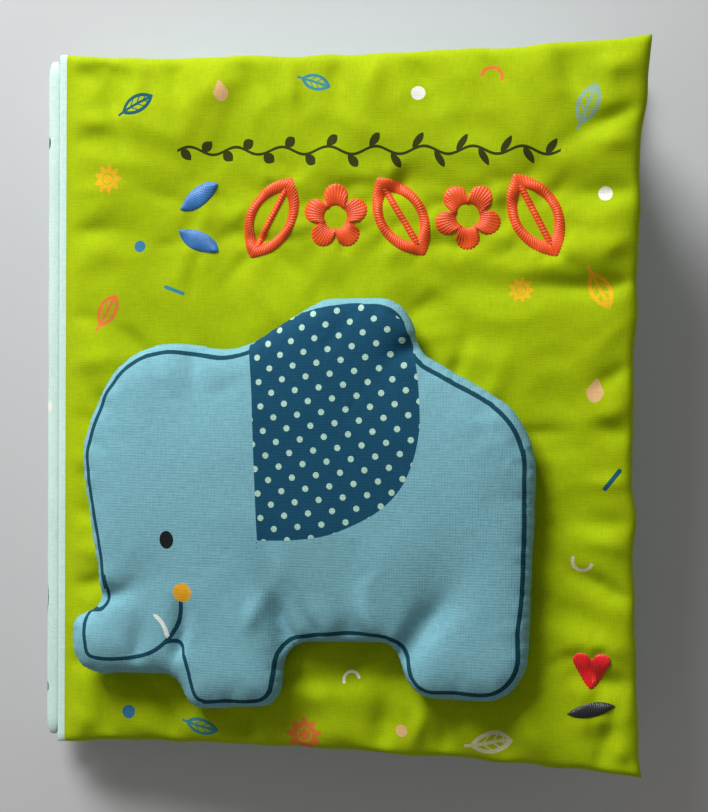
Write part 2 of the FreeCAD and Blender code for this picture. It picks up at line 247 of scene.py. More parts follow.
# Elephant outline, from the middle of its solid on the front cover's plane.
frontPlane = fanPlane(fan["steps"])
elephant = {
    "middle": 9.8, "half": 5.3, "margin": 11,       # height of its rim over the cover plane, and its swell
    "cell": 1.9, "crown": 0.8, "stuffing": 0.9,     # mesh size, rise of the belly, unevenness
    "excess": 0.035, "rimWave": 0.35, "hold": 0.22,
    "floor": 4.3, "ceiling": 17,
    "puckers": {"spacing": 6.5, "lengths": (3.5, 8), "widths": (1.3, 2.6), "depths": (0.4, 1.1), "skew": 20},
    "coverFolds": {"spacing": 22, "lengths": (14, 30), "widths": (3, 5.5), "depths": (0.9, 2.0), "skew": 25},
    # each dent has u, v, way in degrees, length, width, depth and bend, as in foldField
    "dents": [(75, -69, 102, 23, 4.2, -6.0, 3), (110, -69, 60, 24, 4.8, -6.2, -3),
              (43, -71, 75, 17, 3.2, -3.6, 3), (19, -58, 20, 14, 3.0, -3.2, 0),
              (46, 19, -85, 19, 3.6, -2.4, 2), (114, 18, 205, 15, 3.6, -2.6, 0),
              (92, -68, 88, 14, 6, -2.2, 0), (66, -60, 60, 18, 5, 1.6, 0), (100, -62, 110, 16, 5, 1.4, 0),
              (84, -66, 120, 17, 3, -2.2, 2), (30, -72, 80, 12, 4, -1.8, 0)],
    "cloth": {"quality": 5, "mass": 0.003, "stretch": 12, "shear": 5, "bend": 0.01, "pressure": 12,
              "damping": 2, "wadding": 0.008, "frames": 16, "cap": 1.6},
}


def outlineAt(node, plane, height):
    shape = bmesh.new()
    shape.from_mesh(frame["nodes"][node].data)
    shape.transform(plane.inverted())
    bmesh.ops.remove_doubles(shape, verts=shape.verts, dist=1e-6)
    cut = bmesh.ops.bisect_plane(shape, geom=shape.verts[:] + shape.edges[:] + shape.faces[:],
                                 plane_co=(0, 0, height * mm), plane_no=(0, 0, 1))["geom_cut"]
    # a list in the cut's own order, so that the outline starts at the same place in every run
    edges = [e for e in cut if isinstance(e, bmesh.types.BMEdge)]
    first, point = edges.pop(0).verts
    loop = [first.co.copy(), point.co.copy()]
    while edges:
        onward = [e for e in point.link_edges if e in edges]
        if not onward:
            break
        edges.remove(onward[0])
        point = onward[0].other_vert(point)
        loop.append(point.co.copy())
    shape.free()
    return np.array([(p.x, p.y) for p in loop]) / mm


elephantOutline = evenSteps(outlineAt("elephant", frontPlane, elephant["middle"]), elephant["cell"])[:-1]
print("elephant outline: %d points" % len(elephantOutline))


# Where each stitched motif sits on the front cover: its middle and its turn.
stitches = {
    "pitch": 0.9,       # from thread to thread; real thread is about 0.4 mm, too fine to show
    "finePitch": 0.6,   # the same on the small motifs
    "height": 0.95, "ridge": 0.33, "across": 7, "seat": 0.15, "root": 0.7,
    "leaf": {"length": 27, "width": 15, "stroke": 3.4, "rib": 2.2},
    "blossom": {"across": 20, "hole": 6, "petals": 5},
    "puckers": {"spacing": 8, "lengths": (5, 14), "widths": (1.1, 2.3), "depths": (0.7, 1.7), "skew": 18},
}
motifs = [  # node, kind, u, v, angle, size, slot
    ("orange_leaf_1", "leaf", 67, 54, 62, None, "orange_thread"),
    ("orange_blossom_2", "blossom", 86.2, 54, 18, None, "orange_thread"),
    ("orange_leaf_3", "leaf", 105.4, 54, -58, None, "orange_thread"),
    ("orange_blossom_4", "blossom", 124.6, 54, -18, None, "orange_thread"),
    ("orange_leaf_5", "leaf", 143.8, 54, 118, None, "orange_thread"),
    ("blue_leaf_1", "oval", 45, 60.5, 32, (14, 6.5), "blue_thread"),
    ("blue_leaf_2", "oval", 45, 47.5, -28, (14, 6.5), "blue_thread"),
    ("red_heart", "heart", 161, -74, 0, 11, "red_thread"),
    ("dark_leaf", "oval", 161, -85, 12, (14, 4.6), "dark_thread"),
]


def ovalHalf(length, width, share):
    # half width of a pointed oval, where share runs from -1 at one tip to 1 at the other
    radius = (length ** 2 + width ** 2) / (4 * width)
    return np.sqrt(np.maximum(radius ** 2 - (share * length / 2) ** 2, 0)) - (radius - width / 2)


def threadPitch(kind):
    return stitches["pitch" if kind in ("leaf", "blossom") else "finePitch"]


def threadRuns(kind, size):
    # each run is the two ends of every thread in turn, and whether the run closes on itself
    pitch = threadPitch(kind)
    if kind == "leaf":
        own = stitches["leaf"]
        inner = (own["length"] - 3.2 * own["stroke"], own["width"] - 2 * own["stroke"])
        count = round(own["length"] * 1.12 / pitch)
        even = np.linspace(-1, 1, count + 1)[:-1]
        share = -np.cos(np.linspace(0, math.pi, count + 1))[:-1] * 0.35 + even * 0.65
        outerEnds, innerEnds = [], []
        for side in (1, -1):
            along = share * side
            outerEnds.append(np.column_stack([along * own["length"] / 2,
                                              -side * ovalHalf(own["length"], own["width"], along)]))
            innerEnds.append(np.column_stack([along * inner[0] / 2,
                                              -side * ovalHalf(*inner, along) - side * 0.3]))
        ribEnds = np.linspace(-inner[0] / 2 - 1.5, inner[0] / 2 + 1.5, round((inner[0] + 3) / pitch))
        rib = [np.column_stack([ribEnds - slant, np.full(len(ribEnds), side * own["rib"] / 2)])
               for side, slant in ((-1, 0.3), (1, -0.3))]
        return [(np.concatenate(outerEnds), np.concatenate(innerEnds), True), (rib[0], rib[1], False)]
    if kind == "blossom":
        own = stitches["blossom"]
        middle = own["across"] / 2 / (1 + math.sin(math.pi / own["petals"]))
        reach = middle * math.sin(math.pi / own["petals"])
        perPetal = round(2.6 * reach / pitch)
        total = perPetal * own["petals"]
        turn = np.arange(total) * 2 * math.pi / total + math.pi / own["petals"]
        off = (turn + math.pi / own["petals"]) % (2 * math.pi / own["petals"]) - math.pi / own["petals"]
        radius = middle * np.cos(off) + np.sqrt(np.maximum(reach ** 2 - (middle * np.sin(off)) ** 2, 0))
        ring = np.column_stack([np.cos(turn), np.sin(turn)])
        return [(ring * radius[:, None], ring * own["hole"] / 2, True)]
    if kind == "oval":
        share = np.linspace(-0.985, 0.985, round(size[0] / pitch))
        half = ovalHalf(size[0], size[1], share)
        slant = half * 0.35
        return [(np.column_stack([share * size[0] / 2 - slant, -half]),
                 np.column_stack([share * size[0] / 2 + slant, half]), False)]
    lobe = size / 4
    across = np.linspace(-0.97, 0.97, round(size / pitch)) * size / 2
    crest = lobe + np.sqrt(np.maximum(lobe ** 2 - (np.abs(across) - lobe) ** 2, 0))
    share = np.abs(across) / (size / 2)
    foot = -0.55 * size + (0.55 * size + lobe) * share ** 1.35
    return [(np.column_stack([across, foot]), np.column_stack([across, crest]), False)]


def turnTo(points, u, v, angle):
    angle = math.radians(angle)
    turn = np.array([[math.cos(angle), math.sin(angle)], [-math.sin(angle), math.cos(angle)]])
    return points @ turn + (u, v)


stitchedAreas = []
for node, kind, u, v, angle, size, slotName in motifs:
    for low, high, closed in threadRuns(kind, size):
        outline = low if closed else np.concatenate([low, high[::-1]])
        stitchedAreas.append(turnTo(outline, u, v, angle))


# Padded panels: the outer and the inner cloth share their seam line.
panel = {"seam": 0.8, "flange": 4, "sag": 2.2, "nose": 0.8, "height": 210, "width": 176,
         "outerPuff": 4.0, "innerPuff": 3.4, "outerMargin": 19, "innerMargin": 15,
         "lump": 33, "crease": (21, 14), "edgeWave": 13, "edgeReach": 7}  # sizes of the unevenness
leaf = {"start": 1.5, "width": 166, "height": 203, "puff": 3.4}
frontCoverCut = {
    "cell": 2.0, "excess": 0.03,  # mesh size, extra cloth as a share
    "gathers": {"spacing": 18, "lengths": (14, 38), "widths": (2.4, 4.8), "depths": (2.8, 5.4), "skew": 24},
    "stuffing": 1.1, "crumple": 0.85, "rimPull": 1.5,  # uneven wadding, small creases, and the wavy edge
    "sink": 0.55, "hold": 0.4, "underElephant": 4.1,   # stitches pull the cloth down by sink
    "over": 2.0,                                       # how far a fold may rise past the crown
    "cloth": {"quality": 5, "mass": 0.003, "stretch": 12, "shear": 4, "bend": 0.01, "pressure": 10,
              "damping": 2, "wadding": 0.005, "frames": 16, "cap": 2.0},
}
plainCut = {
    "cell": 3.2, "excess": 0.02, "stuffing": 0.4, "crumple": 0.3, "rimPull": 0.7, "hold": 0.3,
    "over": 0,  # the back cover lies on the table
    "gathers": {"spacing": 22, "lengths": (12, 28), "widths": (3.5, 6), "depths": (0.9, 2.0), "skew": 20},
    "cloth": dict(frontCoverCut["cloth"], frames=18, wadding=0.03),
}


def openingHalf(u):
    # half of the room between one panel's middle and the next one's
    rise = math.tan(math.radians(fan["angle"] / fan["steps"]))
    return (fan["pitch"] + np.maximum(u, 0) * rise - fan["air"]) / 2


def paddedPanel(name, plane, start, width, height, sag, faces, cut, seed, held=None, extraFolds=()):
    # faces are the upper and the lower one: puff, margin, and whether the fan limits it
    columns, rows = round(width / cut["cell"]), round(height / cut["cell"])
    s, t = np.meshgrid(np.linspace(0, 1, columns + 1), np.linspace(-1, 1, rows + 1), indexing="ij")
    u = start + s * (width - sag * (1 - t ** 2))
    v = t * (height / 2 - sag * (1 - (2 * s - 1) ** 2))
    toFore = start + width - sag * (1 - t ** 2) - u
    toEnds = height / 2 - sag * (1 - (2 * s - 1) ** 2) - np.abs(v)
    toSpine = u - start
    rim = np.minimum(np.minimum(toFore, toEnds), toSpine)
    # beside the hinge the cloth is sewn flat, so that the cover can turn past the spine
    toCrown = np.minimum(rim, np.maximum(u - max(start, 0) - panel["flange"], 0))
    points = np.column_stack([u.ravel(), v.ravel()])
    seamLine = np.concatenate([points.reshape(*u.shape, 2)[:, 0], points.reshape(*u.shape, 2)[-1, 1:],
                               points.reshape(*u.shape, 2)[::-1, -1][1:],
                               points.reshape(*u.shape, 2)[0, ::-1][1:]])
    edge = rim < 1e-6
    heights = []
    for side, (puff, margin, limited) in enumerate(faces):
        folds = foldsAlong(evenSteps(seamLine, 1.0), True, seed=round(seed * 10) + side, **cut["gathers"])
        folds += list(extraFolds) if side == 0 else []
        fold = foldField(points, folds).reshape(u.shape)
        stuffing = cut["stuffing"] * 2 * softNoise(u / panel["lump"], v / panel["lump"], seed + side)
        creases = np.abs(softNoise(u / panel["crease"][0], v / panel["crease"][1], seed + 7 + side))
        stuffing += cut["crumple"] * (0.6 - 2.6 * creases)
        height = panel["seam"] + (puff - panel["seam"]) * swell(toCrown, margin)
        free = np.clip(rim / 5, 0, 1) * np.clip(toCrown / 10, 0, 1)
        height = np.maximum(height + (fold + stuffing) * free, panel["seam"] * np.clip(rim / 2, 0, 1))
        height = np.minimum(height, openingHalf(u) if limited else puff + cut["over"])
        heights.append(np.where(edge, 0, height))
    pull = cut["rimPull"] * (1 + 1.6 * softNoise(u / panel["edgeWave"], v / panel["edgeWave"], seed + 3))
    pull = np.clip(pull, 0, 2)
    u = u - pull * np.exp(-toFore / panel["edgeReach"]) * (1 - np.abs(t) ** 10)
    v = v - np.sign(v) * pull * 0.6 * np.exp(-toEnds / panel["edgeReach"]) * (1 - np.abs(2 * s - 1) ** 10)
    inner = np.flatnonzero(~edge)
    number = np.arange(u.size).reshape(u.shape)
    below = number.copy()
    below.ravel()[inner] = u.size + np.arange(inner.size)
    top = np.stack([u.ravel(), v.ravel(), heights[0].ravel()], 1)
    bottom = np.stack([u.ravel()[inner], v.ravel()[inner], -heights[1].ravel()[inner]], 1)
    verts = np.concatenate([top, bottom])
    quads = []
    for grid, order in ((number, (0, 1, 2, 3)), (below, (0, 3, 2, 1))):
        corners = [grid[:-1, :-1], grid[1:, :-1], grid[1:, 1:], grid[:-1, 1:]]
        quads.append(np.stack([corners[k] for k in order], -1).reshape(-1, 4))
    flatPlace = verts[:, :2].copy()
    rim = np.concatenate([rim.ravel(), rim.ravel()[inner]])
    isTop = np.arange(len(verts)) < u.size
    hold = np.where((rim < 1e-6) | (verts[:, 0] < start + 5), 1.0, cut["hold"])
    if held is not None:
        firm, under = held(verts[:, :2])
        firm, under = firm & isTop, under & isTop
        verts[firm, 2] = np.minimum(verts[firm, 2], panel["outerPuff"] - cut["sink"])
        hold = np.where(firm | under, 1.0, hold)
    piece = pieceFromMesh(name, verts, np.concatenate(quads).tolist(), plane, flatPlace)

    def limit(points):
        room = openingHalf(points[:, 0])
        for side, (puff, margin, limited) in ((1, faces[0]), (-1, faces[1])):
            mine = isTop if side > 0 else ~isTop
            if limited:
                points[mine, 2] = side * np.minimum(side * points[mine, 2], room[mine])
            points[mine, 2] = side * np.maximum(side * points[mine, 2], 0.2 * (rim[mine] > 1e-6))
            if not limited:
                points[mine, 2] = side * np.minimum(side * points[mine, 2], puff + cut["over"])
        if held is not None:
            points[under, 2] = np.minimum(points[under, 2], cut["underElephant"])
        points[rim < 1e-6] = verts[rim < 1e-6]
        return points

    middle = verts[:, :2].mean(0)
    larger = verts.copy()
    larger[:, :2] = middle + (larger[:, :2] - middle) * (1 + cut["excess"])
    relaxCloth(piece, plane, hold, larger, cut["cloth"], limit)
    finishCloth(piece)
    return piece


def heldByStitches(points):
    firm = np.zeros(len(points), bool)
    for outline in stitchedAreas:
        near = np.linalg.norm(points - outline.mean(0), axis=1) < 20
        firm[near] |= signedDistance(outline, points[near]) > -0.3
    return firm, signedDistance(elephantOutline, points) > 4


outerFace = (panel["outerPuff"], panel["outerMargin"], False)
innerFace = (panel["innerPuff"], panel["innerMargin"], True)
coverSize = (-panel["nose"], panel["width"] + panel["nose"], panel["height"], panel["sag"])
stitchFolds = []
for number, outline in enumerate(stitchedAreas):
    line = evenSteps(np.concatenate([outline, outline[:1]]), 1.0)
    stitchFolds += foldsAlong(line, not leftIsInside(outline, line), seed=50 + number, **stitches["puckers"])
elephantLine = evenSteps(np.concatenate([elephantOutline, elephantOutline[:1]]), 1.0)
stitchFolds += foldsAlong(elephantLine, not leftIsInside(elephantOutline, elephantLine), seed=90,
                          **elephant["coverFolds"])
frontCover = paddedPanel("frontCoverCloth", frontPlane, *coverSize, [outerFace, innerFace], frontCoverCut,
                         3.1, heldByStitches, stitchFolds)
backCover = paddedPanel("backCoverCloth", fanPlane(0), *coverSize, [innerFace, outerFace], plainCut, 5.7)
leaves = [paddedPanel("leafCloth%d" % number, fanPlane(number), leaf["start"], leaf["width"], leaf["height"],
                      0, [(leaf["puff"], panel["innerMargin"], True)] * 2, plainCut, 8.3 + number)
          for number in range(1, fan["steps"])]
for piece, body, node in [(frontCover, "front_cover", "front_cover"), (backCover, "back_cover", "back_cover"),
                          *((piece, "book_block", "pages") for piece in leaves)]:
    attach(piece, body)
    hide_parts(node)
print("covers and leaves made")


# Spine strip and gutter: closed rounds drawn in the end view and run from tail to head.
spine = {"length": 206, "bulge": 4.2, "wall": 1.0, "rows": 90, "ripple": 0.15}


def roundStrip(name, loop, length, rows, ripple, seed, around):
    # loop is a closed line of (x, z) points in millimetres; both ends are closed with a rounded cap
    v = np.linspace(-1, 1, rows + 1) * length / 2
    middle = loop.mean(0)
    verts, flatPlaces = [], []
    for row, y in enumerate(v):
        draw = 1 - 0.45 * max(0, 1 - min(row, rows - row) / 2) ** 2
        shape = middle + (loop - middle) * draw
        wave = ripple * softNoise(np.full(len(loop), y / 11), loop[:, 1] / 8, seed)
        out = (loop - middle) / np.maximum(np.linalg.norm(loop - middle, axis=1, keepdims=True), 1e-6)
        shape = shape + out * wave[:, None]
        verts += [(x, y, z) for x, z in shape]
        flatPlaces += [(place, y) for place in around]
    count = len(loop)
    faces = []
    for row in range(rows):
        for k in range(count):
            a, b = row * count + k, row * count + (k + 1) % count
            faces.append((a, a + count, b + count, b))
    faces += [tuple(range(count)), tuple(reversed(range(rows * count, (rows + 1) * count)))]
    piece = pieceFromMesh(name, verts, faces, Matrix.Identity(4), flatPlaces)
    shape = bmesh.new()
    shape.from_mesh(piece.data)
    bmesh.ops.recalc_face_normals(shape, faces=shape.faces)
    shape.to_mesh(piece.data)
    shape.free()
    finishCloth(piece)
    return piece


spineBox = [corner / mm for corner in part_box("spine")]
turns = np.linspace(-90, 90, 15)
halfHigh = (spineBox[1].z - spineBox[0].z) / 2
middleHigh = (spineBox[1].z + spineBox[0].z) / 2
outerLine = [(spineBox[1].x - spine["bulge"] * math.cos(math.radians(a)),
              middleHigh + halfHigh * math.sin(math.radians(a))) for a in turns]
innerLine = [(spineBox[1].x - (spine["bulge"] - spine["wall"]) * math.cos(math.radians(a)),
              middleHigh + (halfHigh - spine["wall"]) * math.sin(math.radians(a))) for a in turns[::-1]]
spineCloth = roundStrip("spineCloth", np.array(outerLine + innerLine), spine["length"], spine["rows"],
                        spine["ripple"], 2.2, list(turns / 10) + list(turns[::-1] / 10))
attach(spineCloth, "book_block")
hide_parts("spine")
pagesBox = [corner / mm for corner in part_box("pages")]
gutter = {"inset": 0.3, "round": 2.2, "flare": 3.1, "flareAt": -80, "tipAt": -78, "length": 201, "rows": 40}
gutterLine = [(pagesBox[0].x + gutter["inset"] + gutter["round"] * (1 - math.cos(math.radians(a))),
               middleHigh + gutter["round"] * math.sin(math.radians(a))) for a in np.linspace(-90, 90, 9)]
gutterLine += [(gutter["flareAt"], middleHigh + gutter["flare"]), (gutter["tipAt"], middleHigh),
               (gutter["flareAt"], middleHigh - gutter["flare"])]
gutterCloth = roundStrip("gutterCloth", np.array(gutterLine[::-1]), gutter["length"], gutter["rows"], 0.0,
                         4.4, list(np.arange(len(gutterLine))))
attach(gutterCloth, "book_block")
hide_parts("pages")
print("spine made")


# Elephant: two pieces of cloth sewn round their outline and stuffed.
def latticeInside(outline, spacing):
    low, high = outline.min(0), outline.max(0)
    rows = []
    for number, v in enumerate(np.arange(low[1], high[1], spacing * 0.866)):
        across = np.arange(low[0] + (number % 2) * spacing / 2, high[0], spacing)
        rows.append(np.column_stack([across, np.full(len(across), v)]))
    lattice = np.concatenate(rows)
    return lattice[signedDistance(outline, lattice) > 0.55 * spacing]


def elephantBody():
    count = len(elephantOutline)
    points = np.concatenate([elephantOutline, latticeInside(elephantOutline, elephant["cell"])])
    ring = [(k, (k + 1) % count) for k in range(count)]
    made = geometry.delaunay_2d_cdt([Vector(p) for p in points], ring, [], 1, 1e-6)
    flatPoints = np.array([tuple(p) for p in made[0]])
    triangles = np.array([tuple(face) for face in made[2]])
    a, b, c = (flatPoints[triangles[:, k]] for k in range(3))
    turned = (b[:, 0] - a[:, 0]) * (c[:, 1] - a[:, 1]) - (b[:, 1] - a[:, 1]) * (c[:, 0] - a[:, 0]) < 0
    triangles[turned] = triangles[turned][:, ::-1]
    depth = np.maximum(signedDistance(elephantOutline, flatPoints), 0)
    onRim = depth < 1e-3
    rise = elephant["half"] * swell(depth, elephant["margin"]) + elephant["crown"] * np.clip(depth / 40, 0, 1)
    rimLine = evenSteps(np.concatenate([elephantOutline, elephantOutline[:1]]), 1.0)
    puckers = foldsAlong(rimLine, leftIsInside(elephantOutline, rimLine), seed=33, **elephant["puckers"])
    folds = foldField(flatPoints, elephant["dents"] + puckers) * np.clip(depth / 2.5, 0, 1)
    uneven = softNoise(flatPoints[:, 0] / 27, flatPoints[:, 1] / 27, 1.9)
    stuffing = elephant["stuffing"] * uneven * np.clip(depth / 12, 0, 1)
    wave = elephant["rimWave"] * 2 * softNoise(flatPoints[:, 0] / 12, flatPoints[:, 1] / 12, 6.6) * onRim
    inner = np.flatnonzero(~onRim)
    below = np.arange(len(flatPoints))
    below[inner] = len(flatPoints) + np.arange(len(inner))
    high = np.maximum(rise + folds + stuffing, 0.25 * rise)
    top = np.column_stack([flatPoints, elephant["middle"] + high + wave])
    bottom = np.column_stack([flatPoints[inner], elephant["middle"] - rise[inner]])
    verts = np.concatenate([top, bottom])
    verts[:, 2] = np.maximum(verts[:, 2], elephant["floor"])
    faces = triangles.tolist() + below[triangles][:, ::-1].tolist()
    piece = pieceFromMesh("elephantCushion", verts, faces, frontPlane, verts[:, :2])
    depth = np.concatenate([depth, depth[inner]])
    hold = np.where(depth < 1e-3, 1.0, elephant["hold"])
    isTop = np.arange(len(verts)) < len(flatPoints)
    hold[~isTop & (depth > 12)] = 1.0
    larger = verts.copy()
    middle = flatPoints.mean(0)
    larger[:, :2] = middle + (larger[:, :2] - middle) * (1 + elephant["excess"])

    def limit(moved):
        moved[:, 2] = np.clip(moved[:, 2], elephant["floor"], elephant["ceiling"])
        return moved

    relaxCloth(piece, frontPlane, hold, larger, elephant["cloth"], limit)
    finishCloth(piece)
    return piece


elephantCushion = elephantBody()
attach(elephantCushion, "front_cover")
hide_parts("elephant")

# Distances that the printed lines follow, kept on the cloth's points.
drawing = {
    "ear": [(63, 17), (63, 17), (65, 1), (67, -38.7), (67, -38.7), (76, -38.4), (86, -37), (94, -34),
            (102, -29.5), (108, -23.4), (111.5, -16), (113.3, -8), (113.4, -1), (112, 11), (107.5, 24),
            (99.5, 28), (92, 28.8), (77.5, 26), (67, 20.3)],
    "trunk": [(44, -57), (43.6, -61.3), (42.2, -65.2), (39.4, -69.1), (35.5, -72.2), (30.3, -74.2),
              (23.2, -75.2), (17.6, -75), (15.1, -73.8), (14.4, -70.2), (13.9, -65.5), (14.4, -62.1),
              (16.3, -61.2), (18.7, -60.9), (20.4, -59.1), (20.5, -55.8), (19.9, -50.8)],
    "leg": [(39.1, -69.5), (41.4, -69), (43.4, -70.1), (44.9, -73.5), (46.2, -78.1), (47.2, -82.5),
            (48.6, -85.6), (51.5, -86.5)],
    "tusk": [(36.2, -61.7), (37.9, -63.1), (39.1, -65.1), (39.9, -67.6)],
}
flatPlaces = np.zeros(len(elephantCushion.data.vertices) * 3)
elephantCushion.data.attributes["flat"].data.foreach_get("vector", flatPlaces)
flatPlaces = flatPlaces.reshape(-1, 3)[:, :2]
setNumber(elephantCushion, "fromRim", signedDistance(elephantOutline, flatPlaces))
earLine = smoothLine(drawing["ear"], 1.5, True)
setNumber(elephantCushion, "inEar", signedDistance(earLine, flatPlaces))
fromTrunk, fromLeg = (signedDistance(smoothLine(drawing[part], 1, False), flatPlaces, False)
                      for part in ("trunk", "leg"))
setNumber(elephantCushion, "fromTrunkLine", np.minimum(fromTrunk, fromLeg))
tuskLine = smoothLine(drawing["tusk"], 1, False)
setNumber(elephantCushion, "fromTusk", signedDistance(tuskLine, flatPlaces, False))
print("elephant made")


# Satin stitching: every thread crosses its stroke in an arch and sits on the cover.
coverTree = BVHTree.FromObject(frontCover, bpy.context.evaluated_depsgraph_get())
outward = (frontPlane.to_3x3() @ Vector((0, 0, 1))).normalized()


def seatHeight(u, v):
    start = frontPlane @ (Vector((u, v, 30)) * mm)
    hit = coverTree.ray_cast(start, -outward, 0.06)[0]
    return 4.0 if hit is None else (frontPlane.inverted() @ hit).z / mm


def satinPiece(name, kind, u, v, angle, size):
    verts, faces, flatPlace = [], [], []
    across = np.linspace(0, 1, stitches["across"])
    arch = np.sin(across * math.pi) ** 0.7
    pitch = threadPitch(kind)
    for low, high, closed in threadRuns(kind, size):
        low, high = turnTo(low, u, v, angle), turnTo(high, u, v, angle)
        rows = []
        count = len(low)
        for row in range(count if closed else count - 1):
            onward = (row + 1) % count
            for share, ridge in ((0, 0), (0.33, 1), (0.67, 1)):
                rows.append((low[row] * (1 - share) + low[onward] * share,
                             high[row] * (1 - share) + high[onward] * share,
                             ridge, row + share))
        first = len(verts)
        for start, end, ridge, place in rows:
            length = np.linalg.norm(end - start)
            tall = stitches["height"] * min(1, 0.35 + length / 4)
            for share, rise in zip(across, arch):
                spot = start * (1 - share) + end * share
                groove = stitches["ridge"] * pitch * (1 - ridge) * min(1, rise + 0.3)
                verts.append((*spot, seatHeight(*spot) - stitches["seat"] + tall * rise - groove))
                flatPlace.append((place * pitch, share * length))
            for spot in (end, start):
                verts.append((*spot, seatHeight(*spot) - stitches["root"]))
                flatPlace.append((place * pitch, 0))
        span = len(across) + 2
        total = len(rows)
        for row in range(total if closed else total - 1):
            a = first + row * span
            b = first + ((row + 1) % total) * span
            for k in range(span):
                n = (k + 1) % span
                faces.append((a + k, b + k, b + n, a + n))
        if not closed:
            faces.append(tuple(first + k for k in range(span)))
            faces.append(tuple(first + (total - 1) * span + k for k in reversed(range(span))))
    piece = pieceFromMesh(name, verts, faces, frontPlane, flatPlace)
    shape = bmesh.new()
    shape.from_mesh(piece.data)
    bmesh.ops.recalc_face_normals(shape, faces=shape.faces)
    shape.to_mesh(piece.data)
    shape.free()
    piece.data.shade_smooth()
    return piece


threadPieces = {}
for node, kind, u, v, angle, size, slotName in motifs:
    parts = node.split("_")
    piece = satinPiece(parts[0] + "".join(part.capitalize() for part in parts[1:]) + "Satin", kind, u, v,
                       angle, size)
    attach(piece, "front_cover")
    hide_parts(node)
    threadPieces.setdefault(slotName, []).append(piece)
print("stitching made")


# Materials.
def addNode(tree, kind, settings=None, links=None):
    # one shader node with its settings, and the sockets or numbers that feed it
    node = tree.nodes.new(kind)
    for key, value in (settings or {}).items():
        setattr(node, key, value)
    for socket, value in (links or {}).items():
        if isinstance(value, bpy.types.NodeSocket):
            tree.links.new(value, node.inputs[socket])
        else:
            node.inputs[socket].default_value = value
    return node


def paint(code):
    # sRGB hex to the linear colour that the shader takes
    parts = [int(code[k:k + 2], 16) / 255 for k in (1, 3, 5)]
    return (*[part / 12.92 if part <= 0.04045 else ((part + 0.055) / 1.055) ** 2.4 for part in parts], 1)


def steps(tree, values, recipe):
    # runs lines of (result, operation, inputs) as math nodes; names stand for earlier results
    for result, operation, *inputs in recipe:
        links = {k: values[value] if isinstance(value, str) else value for k, value in enumerate(inputs)}
        values[result] = addNode(tree, "ShaderNodeMath", {"operation": operation}, links).outputs[0]
    return values


